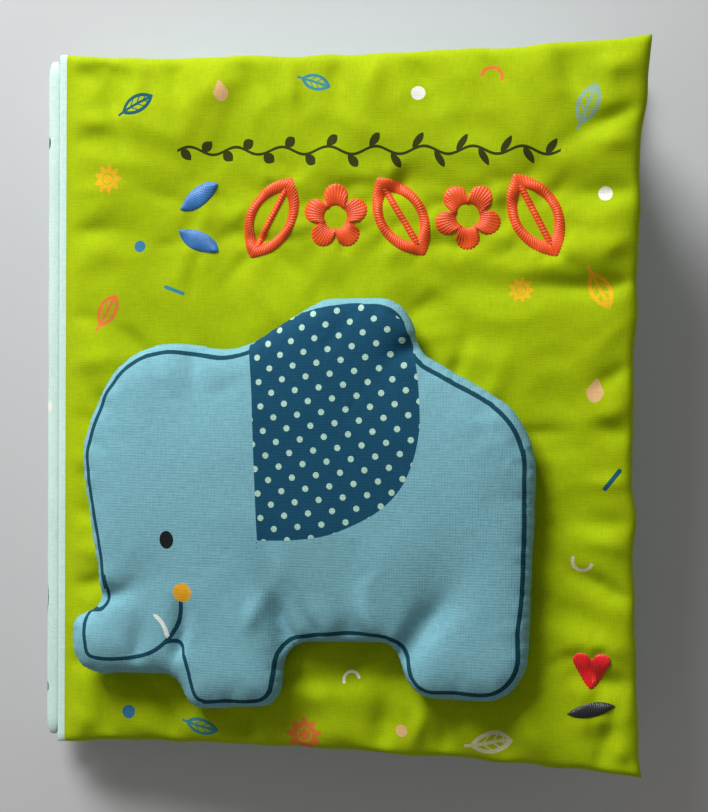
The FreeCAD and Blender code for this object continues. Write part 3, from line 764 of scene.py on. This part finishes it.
ovalReach = 3.7     # how far the two arcs' middles lie outside a printed leaf, and their radius
ovalRadius = 6.2
roundLines = [("xx", "MULTIPLY", "x", "x"), ("square", "MULTIPLY_ADD", "y", "y", "xx"),
              ("round", "SQRT", "square")]
printShapes = {  # each gives "mask" from x and y in millimetres
    "leaf": [("side", "ABSOLUTE", "y"), ("far", "ADD", "side", ovalReach),
             ("farSquare", "MULTIPLY", "far", "far"), ("square", "MULTIPLY_ADD", "x", "x", "farSquare"),
             ("round", "SQRT", "square"), ("edge", "SUBTRACT", "round", ovalRadius),
             ("edgeLine", "COMPARE", "edge", -0.2, 0.52), ("inside", "LESS_THAN", "edge", -0.2),
             ("ribLong", "COMPARE", "x", -1.2, 5.6), ("ribLine", "LESS_THAN", "side", 0.4),
             ("rib", "MULTIPLY", "ribLong", "ribLine"),
             ("slant", "SUBTRACT", "x", "side"), ("cell", "PINGPONG", "slant", 1.1),
             ("vein", "LESS_THAN", "cell", 0.24), ("veins", "MULTIPLY", "vein", "inside"),
             ("lines", "MAXIMUM", "edgeLine", "rib"), ("mask", "MAXIMUM", "lines", "veins")],
    "dot": [*roundLines, ("mask", "LESS_THAN", "round", 2)],
    "drop": [("up", "MAXIMUM", "y", 0), ("wide", "MULTIPLY_ADD", "up", 0.42, 1),
             ("narrow", "MULTIPLY", "x", "wide"), ("xx", "MULTIPLY", "narrow", "narrow"),
             ("low", "MULTIPLY", "y", 0.72), ("square", "MULTIPLY_ADD", "low", "low", "xx"),
             ("mask", "LESS_THAN", "square", 6)],
    "arc": [*roundLines, ("band", "COMPARE", "round", 2.9, 0.5), ("upper", "GREATER_THAN", "y", -0.4),
            ("mask", "MULTIPLY", "band", "upper")],
    "flower": [*roundLines, ("turn", "ARCTAN2", "y", "x"), ("many", "MULTIPLY", "turn", 9),
               ("wave", "COSINE", "many"), ("reach", "MULTIPLY_ADD", "wave", 0.9, 4.3),
               ("over", "SUBTRACT", "reach", "round"), ("inside", "GREATER_THAN", "over", 0),
               ("hole", "COMPARE", "round", 1.9, 0.22),
               ("mask", "SUBTRACT", "inside", "hole")],
    "stick": [("near", "MINIMUM", "x", 4), ("held", "MAXIMUM", "near", -4), ("past", "SUBTRACT", "x", "held"),
              ("pp", "MULTIPLY", "past", "past"), ("square", "MULTIPLY_ADD", "y", "y", "pp"),
              ("mask", "LESS_THAN", "square", 0.65)],
    "vine": [("turn", "MULTIPLY", "x", 0.45), ("wave", "SINE", "turn"), ("stem", "MULTIPLY", "wave", 1.1),
             ("offStem", "SUBTRACT", "y", "stem"), ("near", "ABSOLUTE", "offStem"),
             ("stemLine", "LESS_THAN", "near", 0.42), ("half", "MULTIPLY", "x", 0.15915),
             ("halfCell", "FLOOR", "half"), ("even", "PINGPONG", "halfCell", 1),
             ("way", "MULTIPLY_ADD", "even", -2, 1), ("cell", "WRAP", "x", 6.2832, 0),
             ("mid", "SUBTRACT", "cell", 3.1416), ("above", "MULTIPLY", "offStem", "way"),
             ("lift", "SUBTRACT", "above", 2.0), ("lx1", "MULTIPLY", "mid", 0.62),
             ("lx", "MULTIPLY_ADD", "lift", 0.78, "lx1"), ("ly1", "MULTIPLY", "mid", -0.78),
             ("ly", "MULTIPLY_ADD", "lift", 0.62, "ly1"), ("side", "ABSOLUTE", "ly"),
             ("far", "ADD", "side", 1.55), ("farSquare", "MULTIPLY", "far", "far"),
             ("square", "MULTIPLY_ADD", "lx", "lx", "farSquare"), ("leafIn", "LESS_THAN", "square", 7.8),
             ("either", "MAXIMUM", "stemLine", "leafIn"), ("long", "COMPARE", "x", 0, 56),
             ("mask", "MULTIPLY", "either", "long")],
}


def printGroup(kind):
    group = bpy.data.node_groups.new(kind + "Print", "ShaderNodeTree")
    group.interface.new_socket("place", in_out="INPUT", socket_type="NodeSocketVector")
    group.interface.new_socket("mask", in_out="OUTPUT", socket_type="NodeSocketFloat")
    place = addNode(group, "ShaderNodeSeparateXYZ", links={0: addNode(group, "NodeGroupInput").outputs[0]})
    values = steps(group, {"x": place.outputs[0], "y": place.outputs[1]}, printShapes[kind])
    addNode(group, "NodeGroupOutput", links={0: values["mask"]})
    return group


printGroups = {kind: printGroup(kind) for kind in printShapes}
printColours = {"navy": "#1F5B66", "teal": "#3E8F95", "grey": "#8FB39A", "yellow": "#E8B521",
                "orange": "#E8803A", "beige": "#D9D2B0", "white": "#F2F2E8", "blue": "#3E7FA8",
                "peach": "#E2B77E", "olive": "#3B3F10"}
frontPrint = [  # shape, u, v, angle, scale, colour
    ("leaf", 26, 88, 28, 1.0, "navy"), ("drop", 52, 91, 10, 0.9, "peach"),
    ("leaf", 80, 93, -18, 0.85, "teal"), ("dot", 110, 89, 0, 1.0, "white"),
    ("arc", 131, 93, -12, 1.0, "orange"), ("leaf", 158, 85, 68, 1.15, "grey"),
    ("flower", 17, 66, 0, 0.85, "yellow"), ("dot", 27, 46, 0, 0.85, "blue"),
    ("leaf", 17, 27, 58, 1.05, "orange"), ("dot", 163, 60, 0, 1.0, "white"),
    ("leaf", 162, 33, -62, 1.1, "yellow"), ("drop", 161, 5, -8, 1.0, "peach"),
    ("stick", 166, -20, 52, 0.8, "navy"), ("arc", 158, -43, 160, 0.95, "beige"),
    ("leaf", 133, -96, 9, 1.15, "beige"), ("dot", 107, -94, 0, 0.9, "peach"),
    ("flower", 78, -97, 12, 1.05, "orange"), ("leaf", 47, -96, -14, 0.95, "teal"),
    ("dot", 24, -93, 0, 1.0, "blue"), ("arc", 92, -80, 20, 0.8, "white"),
    ("stick", 38, 33, -20, 0.7, "teal"), ("flower", 140, 33, 0, 0.7, "yellow"),
    ("vine", 94.6, 73, -1, 1.0, "olive"),
]
backPrint = [(kind, panel["width"] - u, -v, angle + 40, scale, colour)
             for kind, u, v, angle, scale, colour in frontPrint[:-1]]
backPrint += [("leaf", 60, 30, 20, 1.1, "yellow"), ("flower", 95, -20, 0, 1, "orange"),
              ("leaf", 125, 25, 80, 1.1, "navy"), ("dot", 80, 60, 0, 1, "white"),
              ("drop", 50, -45, 20, 1, "peach"), ("leaf", 110, -60, -40, 1, "teal")]
leafPrint = [("leaf", 40, 60, 30, 1.6, "teal"), ("dot", 70, 75, 0, 1.2, "yellow"),
             ("flower", 110, 60, 0, 1.5, "orange"), ("leaf", 140, 20, -50, 1.6, "grey"),
             ("drop", 80, 15, 0, 1.4, "peach"), ("arc", 40, 0, 0, 1.5, "teal"),
             ("leaf", 60, -50, 70, 1.6, "yellow"), ("flower", 120, -45, 0, 1.3, "yellow"),
             ("stick", 90, -80, 20, 1.4, "teal"), ("dot", 30, -80, 0, 1.2, "blue"),
             ("leaf", 145, -80, 10, 1.4, "teal")]


def clothMaterial(name, colour, thread, roughness, slub, weaveDepth):
    # the shared ground of every woven cloth: two sets of threads, uneven dye and a soft sheen
    material = bpy.data.materials.new(name)
    material.use_nodes = True
    tree = material.node_tree
    shader = tree.nodes["Principled BSDF"]
    flat = addNode(tree, "ShaderNodeAttribute", {"attribute_name": "flat"}).outputs["Vector"]
    scale = 0.31416 / thread  # Blender's wave repeats every 0.31416 at scale 1
    bands = []
    for direction in ("X", "Y"):
        bands.append(addNode(tree, "ShaderNodeTexWave", {"bands_direction": direction},
                             {"Vector": flat, "Scale": scale, "Distortion": 1.6, "Detail": 1,
                              "Detail Scale": 2.5}).outputs["Fac"])
    over = addNode(tree, "ShaderNodeMath", {"operation": "MULTIPLY"}, {0: bands[0], 1: bands[1]}).outputs[0]
    slubs = []
    for stretch in ((0.3, 1.9, 1), (1.9, 0.3, 1)):
        along = addNode(tree, "ShaderNodeVectorMath", {"operation": "MULTIPLY"},
                        {0: flat, 1: stretch}).outputs[0]
        slubs.append(addNode(tree, "ShaderNodeTexNoise",
                             links={"Vector": along, "Scale": 1.0, "Detail": 2}).outputs["Fac"])
    uneven = addNode(tree, "ShaderNodeMath", {"operation": "ADD"}, {0: slubs[0], 1: slubs[1]}).outputs[0]
    cloudy = addNode(tree, "ShaderNodeTexNoise",
                     links={"Vector": flat, "Scale": 0.035, "Detail": 3}).outputs["Fac"]
    shade = steps(tree, {"over": over, "uneven": uneven, "cloudy": cloudy},
                  [("a", "MULTIPLY_ADD", "over", 0.5 * slub, 1 - 0.1 * slub),
                   ("b", "MULTIPLY_ADD", "uneven", 2.6 * slub, "a"),
                   ("c", "MULTIPLY_ADD", "cloudy", 0.2, "b"),
                   ("value", "SUBTRACT", "c", 0.1 + 2.6 * slub)])["value"]
    relief = steps(tree, {"over": over, "uneven": uneven},
                   [("value", "MULTIPLY_ADD", "uneven", 1.6, "over")])["value"]
    bump = addNode(tree, "ShaderNodeBump",
                   links={"Height": relief, "Distance": weaveDepth * mm, "Strength": 0.7})
    tree.links.new(bump.outputs[0], shader.inputs["Normal"])
    shader.inputs["Roughness"].default_value = roughness
    shader.inputs["IOR"].default_value = 1.45
    shader.inputs["Specular IOR Level"].default_value = 0.14
    shader.inputs["Sheen Weight"].default_value = 0.03
    shader.inputs["Sheen Roughness"].default_value = 0.45
    ground = addNode(tree, "ShaderNodeRGB").outputs[0]
    ground.default_value = paint(colour)
    return material, tree, flat, ground, shade, shader


def dye(tree, colour, shade, shader):
    # the finished print, lighter and darker with the threads
    strength = addNode(tree, "ShaderNodeCombineXYZ", links={0: shade, 1: shade, 2: shade}).outputs[0]
    final = addNode(tree, "ShaderNodeVectorMath", {"operation": "MULTIPLY"},
                    {0: colour, 1: strength}).outputs[0]
    tree.links.new(final, shader.inputs["Base Color"])


def laid(tree, below, mask, code):
    # one colour printed over another where mask is 1
    return addNode(tree, "ShaderNodeMix", {"data_type": "RGBA"},
                   {0: mask, 6: below, 7: paint(code)}).outputs[2]


def printed(tree, flat, ground, layout):
    for kind, u, v, angle, scale, colour in layout:
        place = addNode(tree, "ShaderNodeMapping", {"vector_type": "TEXTURE"}, {
            "Vector": flat, "Location": (u, v, 0), "Rotation": (0, 0, math.radians(angle)),
            "Scale": (scale, scale, 1)})
        stamp = addNode(tree, "ShaderNodeGroup", {"node_tree": printGroups[kind]}, {0: place.outputs[0]})
        ground = laid(tree, ground, stamp.outputs[0], printColours[colour])
    return ground


# The threads, in mm, are drawn coarser than the real 0.3 and 0.4 mm, so that they show.
cottonWeave = {"thread": 0.7, "roughness": 0.82, "slub": 0.1, "weaveDepth": 0.035}
canvasWeave = {"thread": 0.78, "roughness": 0.86, "slub": 0.14, "weaveDepth": 0.06}


def printedCotton(name, colour, layout, band=None):
    # woven cotton with a pigment print: matt, fine plain weave, ink as matt as the ground
    material, tree, flat, ground, shade, shader = clothMaterial(name, colour, **cottonWeave)
    ground = printed(tree, flat, ground, layout)
    if band:
        u = addNode(tree, "ShaderNodeSeparateXYZ", links={0: flat}).outputs[0]
        ground = laid(tree, ground, steps(tree, {"u": u}, [("mask", "LESS_THAN", "u", band[0])])["mask"],
                      band[1])
    dye(tree, ground, shade, shader)
    return material


bandWidth = 2.4  # the spine's mint cloth turns onto the cover this far
mintCode = "#CCE8E0"
limeCode = "#A6BE02"
limeCotton = printedCotton("printedLimeCotton", limeCode, frontPrint, (bandWidth, mintCode))
backCotton = printedCotton("printedLimeCottonBack", limeCode, backPrint, (bandWidth, mintCode))
liningCotton = printedCotton("mintCottonLining", "#C6E4DC", leafPrint)
spineCotton = printedCotton("mintCottonSpine", mintCode, [
    ("dot", 2, 78, 0, 0.9, "navy"), ("leaf", -1, 46, 80, 0.8, "navy"), ("drop", 3, -2, 90, 0.7, "white"),
    ("leaf", 1, -60, 100, 0.8, "navy"), ("dot", 2, -88, 0, 0.8, "teal")])


def showFace(piece, outer, inner, upper):
    # the outer and the inner cloth are two material slots
    piece.data.materials.append(outer)
    piece.data.materials.append(inner)
    count = len(piece.data.polygons)
    slots = np.zeros(count, np.int32)
    slots[count // 2:] = 1
    piece.data.polygons.foreach_set("material_index", slots if upper else 1 - slots)


showFace(frontCover, limeCotton, liningCotton, True)
showFace(backCover, backCotton, liningCotton, False)
for piece in [*leaves, gutterCloth]:
    piece.data.materials.append(liningCotton)
spineCloth.data.materials.append(spineCotton)

# Elephant canvas: a slightly coarser, slubby plain weave with the drawing printed on it.
elephantPrint = {
    "cloth": "#7BB3C1", "line": "#17485A", "lineAt": 2.9, "lineHalf": 0.6, "ear": "#174D69", "dot": "#AFD6C4",
    "dotPitch": 7.0, "dotRadius": 0.88, "eye": (39.9, -39.4), "eyeSize": (2.1, 2.6), "eyeColour": "#1B1F22",
    "cheek": (44.6, -54.6), "cheekRadius": 2.8, "cheekColour": "#F0AE2A", "tusk": "#E9F2EE",
}
canvas, tree, flat, ground, shade, shader = clothMaterial("elephantCanvas", elephantPrint["cloth"],
                                                          **canvasWeave)
distances = {name: addNode(tree, "ShaderNodeAttribute", {"attribute_name": name}).outputs["Fac"]
             for name in ("fromRim", "inEar", "fromTrunkLine", "fromTusk")}
wander = addNode(tree, "ShaderNodeTexNoise",
                 links={"Vector": flat, "Scale": 0.06, "Detail": 1}).outputs["Fac"]
axes = addNode(tree, "ShaderNodeSeparateXYZ", links={0: flat})
lean = addNode(tree, "ShaderNodeMapping", {"vector_type": "TEXTURE"}, {
    "Vector": flat, "Rotation": (0, 0, math.radians(7)), "Location": (62, -40, 0)}).outputs[0]
leanAxes = addNode(tree, "ShaderNodeSeparateXYZ", links={0: lean})
pitch = elephantPrint["dotPitch"]
half = pitch / 2
masks = steps(tree, {
    **distances, "wander": wander, "u": axes.outputs[0], "v": axes.outputs[1], "a": leanAxes.outputs[0],
    "b": leanAxes.outputs[1],
}, [
    ("at", "MULTIPLY_ADD", "wander", 1.6, elephantPrint["lineAt"] - 0.8),
    ("off", "SUBTRACT", "fromRim", "at"), ("near", "ABSOLUTE", "off"),
    ("rimLine", "LESS_THAN", "near", elephantPrint["lineHalf"]),
    ("trunkLine", "LESS_THAN", "fromTrunkLine", elephantPrint["lineHalf"]), ("low", "LESS_THAN", "v", -55),
    ("fore", "LESS_THAN", "u", 50), ("trunk", "MULTIPLY", "low", "fore"),
    ("rest", "SUBTRACT", "rimLine", "trunk"), ("line", "MAXIMUM", "rest", "trunkLine"),
    ("ear", "GREATER_THAN", "inEar", 0), ("tusk", "LESS_THAN", "fromTusk", 0.62),
    ("a1", "WRAP", "a", half, -half), ("b1", "WRAP", "b", half, -half), ("aa1", "MULTIPLY", "a1", "a1"),
    ("r1", "MULTIPLY_ADD", "b1", "b1", "aa1"), ("a2", "WRAP", "a", pitch, 0), ("b2", "WRAP", "b", pitch, 0),
    ("a3", "SUBTRACT", "a2", half), ("b3", "SUBTRACT", "b2", half), ("aa2", "MULTIPLY", "a3", "a3"),
    ("r2", "MULTIPLY_ADD", "b3", "b3", "aa2"), ("r", "MINIMUM", "r1", "r2"),
    ("anyDot", "LESS_THAN", "r", elephantPrint["dotRadius"] ** 2), ("dots", "MULTIPLY", "anyDot", "ear"),
    ("ex", "SUBTRACT", "u", elephantPrint["eye"][0]), ("ey", "SUBTRACT", "v", elephantPrint["eye"][1]),
    ("ex1", "DIVIDE", "ex", elephantPrint["eyeSize"][0]),
    ("ey1", "DIVIDE", "ey", elephantPrint["eyeSize"][1]), ("exx", "MULTIPLY", "ex1", "ex1"),
    ("er", "MULTIPLY_ADD", "ey1", "ey1", "exx"), ("eye", "LESS_THAN", "er", 1),
    ("cx", "SUBTRACT", "u", elephantPrint["cheek"][0]), ("cy", "SUBTRACT", "v", elephantPrint["cheek"][1]),
    ("cxx", "MULTIPLY", "cx", "cx"), ("cr", "MULTIPLY_ADD", "cy", "cy", "cxx"),
    ("cheek", "LESS_THAN", "cr", elephantPrint["cheekRadius"] ** 2),
])
colour = laid(tree, ground, masks["line"], elephantPrint["line"])
colour = laid(tree, colour, masks["ear"], elephantPrint["ear"])
colour = laid(tree, colour, masks["dots"], elephantPrint["dot"])
colour = laid(tree, colour, masks["eye"], elephantPrint["eyeColour"])
colour = laid(tree, colour, masks["tusk"], elephantPrint["tusk"])
colour = laid(tree, colour, masks["cheek"], elephantPrint["cheekColour"])
dye(tree, colour, shade, shader)
elephantCushion.data.materials.append(canvas)

# Rayon embroidery thread: bright, with a soft sheen, and painted highlight and shade across each twist; the
# same twist waves also raise a real bump.
threadColours = {"orange_thread": "#F5581A", "blue_thread": "#3F7FC4", "red_thread": "#EC1C22",
                 "dark_thread": "#26292B"}
for slotName, code in threadColours.items():
    material = bpy.data.materials.new("rayon" + slotName.split("_")[0].capitalize() + "Thread")
    material.use_nodes = True
    tree = material.node_tree
    shader = tree.nodes["Principled BSDF"]
    flat = addNode(tree, "ShaderNodeAttribute", {"attribute_name": "flat"}).outputs["Vector"]
    twistBumpAndHighlight = addNode(tree, "ShaderNodeTexWave", {"bands_direction": "DIAGONAL"},
                    {"Vector": flat, "Scale": 0.8, "Distortion": 0.4, "Detail": 1}).outputs["Fac"]
    tone = addNode(tree, "ShaderNodeTexNoise",
                   links={"Vector": flat, "Scale": 0.5, "Detail": 2}).outputs["Fac"]
    # painted highlight and shade: the twist waves lighten and darken the thread's colour; tone is the
    # thread's own uneven colour
    shade = steps(tree, {"twistBumpAndHighlight": twistBumpAndHighlight, "tone": tone}, [
        ("a", "MULTIPLY_ADD", "twistBumpAndHighlight", 0.22, 0.64), ("value", "MULTIPLY_ADD", "tone", 0.5, "a")])["value"]
    base = addNode(tree, "ShaderNodeRGB").outputs[0]
    base.default_value = paint(code)
    dye(tree, base, shade, shader)
    bump = addNode(tree, "ShaderNodeBump", links={"Height": twistBumpAndHighlight, "Distance": 0.06 * mm, "Strength": 0.6})
    tree.links.new(bump.outputs[0], shader.inputs["Normal"])
    shader.inputs["Roughness"].default_value = 0.42
    shader.inputs["Sheen Weight"].default_value = 0.25
    shader.inputs["Sheen Roughness"].default_value = 0.3
    for piece in threadPieces[slotName]:
        piece.data.materials.append(material)
print("materials made")

# Pale laminate table, smooth with a faint gloss, one big soft window light and a soft room.
bpy.ops.object.select_all(action="DESELECT")
bpy.ops.mesh.primitive_plane_add(size=4, location=(0, 0, 0))
floor = bpy.context.object
floor.name = "floor"
floor.data.transform(Matrix.Translation((0, 0, -0.0002)))
paleTable = bpy.data.materials.new("paleLaminateTable")
paleTable.use_nodes = True
paleTable.node_tree.nodes["Principled BSDF"].inputs["Base Color"].default_value = paint("#D2D3D6")
paleTable.node_tree.nodes["Principled BSDF"].inputs["Roughness"].default_value = 0.6
floor.data.materials.append(paleTable)

light = {"from": (-0.5, 0.87), "rise": 28, "distance": 1.0, "size": 0.42, "power": 12.7, "room": 0.2}
lampData = bpy.data.lights.new("windowLight", "AREA")
lampData.energy, lampData.size = light["power"], light["size"]
lamp = bpy.data.objects.new("windowLight", lampData)
rise = math.radians(light["rise"])
lamp.location = Vector((light["from"][0] * math.cos(rise), light["from"][1] * math.cos(rise), math.sin(rise)))
lamp.location *= light["distance"]
lamp.rotation_euler = (-lamp.location).to_track_quat("-Z", "Y").to_euler()
bpy.context.scene.collection.objects.link(lamp)
world = bpy.data.worlds.new("softRoom")
world.use_nodes = True
world.node_tree.nodes["Background"].inputs["Color"].default_value = (1, 0.95, 0.88, 1)
world.node_tree.nodes["Background"].inputs["Strength"].default_value = light["room"]
bpy.context.scene.world = world
bpy.context.scene.view_settings.view_transform = "Standard"
print("floor and light made")
